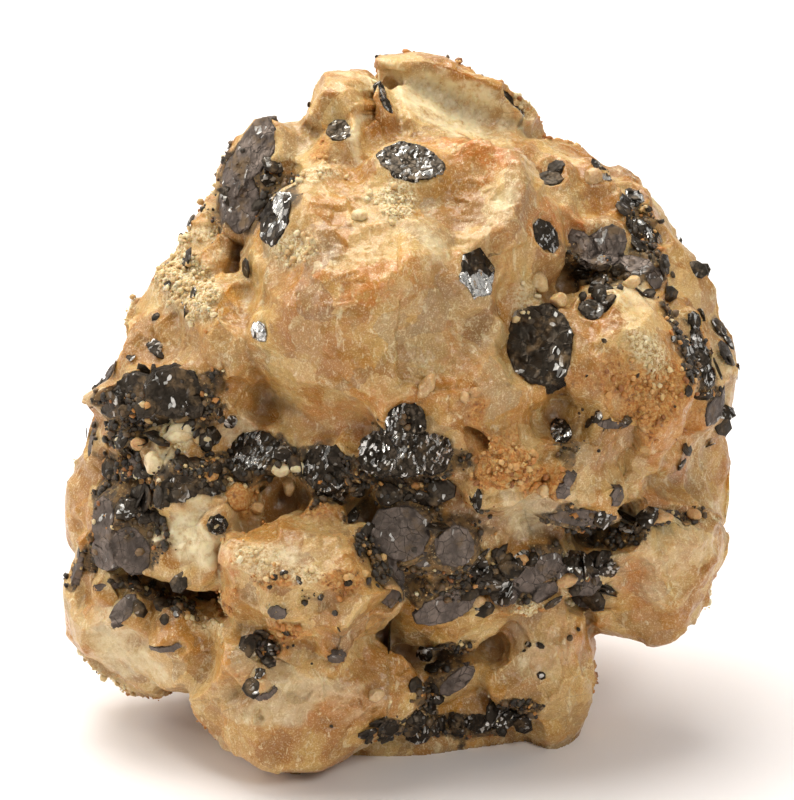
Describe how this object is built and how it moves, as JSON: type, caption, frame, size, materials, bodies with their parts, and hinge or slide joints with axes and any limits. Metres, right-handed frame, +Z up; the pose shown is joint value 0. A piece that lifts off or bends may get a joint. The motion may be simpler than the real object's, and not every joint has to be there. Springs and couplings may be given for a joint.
{
  "type": "graphite specimen",
  "caption": "Mineral specimen: tabular graphite crystals set in a rounded lump of honey-stained quartz and feldspar, standing on a flat foot.",
  "frame": {"origin": "On the ground under the centre of the specimen's box", "axes": "+Z up, -Y towards the front of the specimen, +X to the right as seen from the front"},
  "size_m": [0.051, 0.0394, 0.0493],
  "materials": {
    "stained_quartz": "satin",
    "bright_graphite": "gloss",
    "dull_graphite": "matte"
  },
  "bodies": {
    "root": {"arrow_plate": "dull_graphite", "back_crest_plate": "dull_graphite", "back_hexagonal_plate": "bright_graphite", "back_low_pair": "dull_graphite", "back_round_plate": "dull_graphite", "back_seam_cluster": "bright_graphite", "back_small_plate": "dull_graphite", "boss_low_plate": "dull_graphite", "boss_rim_plate": "dull_graphite", "bottom_blade": "dull_graphite", "broad_plate": "bright_graphite", "centre_cluster": "bright_graphite", "cheek_plate": "dull_graphite", "cheek_strip": "dull_graphite", "cheek_twins": "dull_graphite", "chin_plate": "dull_graphite", "chin_small_plate": "dull_graphite", "crown_plate": "bright_graphite", "foot_cluster": "dull_graphite", "hexagonal_plate": "bright_graphite", "left_brow_plate": "bright_graphite", "left_hem_blade": "dull_graphite", "left_hem_strip": "dull_graphite", "left_lower_cluster": "dull_graphite", "left_rim_blade": "dull_graphite", "left_seam_cluster": "dull_graphite", "left_shoulder_cluster": "bright_graphite", "left_side_pair": "dull_graphite", "left_side_plate": "bright_graphite", "left_small_plate": "dull_graphite", "left_upper_cluster": "bright_graphite", "low_blade_plate": "dull_graphite", "lower_cluster": "dull_graphite", "matrix": "stained_quartz", "peak_sliver": "dull_graphite", "right_edge_cluster": "dull_graphite", "right_edge_sliver": "dull_graphite", "right_ledge_cluster": "bright_graphite", "right_peak_cluster": "dull_graphite", "right_seam_cluster": "dull_graphite", "right_seam_slivers": "dull_graphite", "right_seam_tail": "dull_graphite", "right_side_pair": "dull_graphite", "right_side_plate": "bright_graphite", "round_plate_pair": "dull_graphite", "scratched_plate": "bright_graphite", "seam_knob_plate": "bright_graphite", "seam_ridge_blade": "dull_graphite", "seam_round_plate": "bright_graphite", "silver_plate": "bright_graphite", "slab_edge_strip": "bright_graphite", "small_peak_plate": "bright_graphite", "striated_plate": "bright_graphite", "upper_right_pair": "bright_graphite", "wedge_plate": "dull_graphite", "wedge_step_plate": "dull_graphite"}
  },
  "joints": []
}
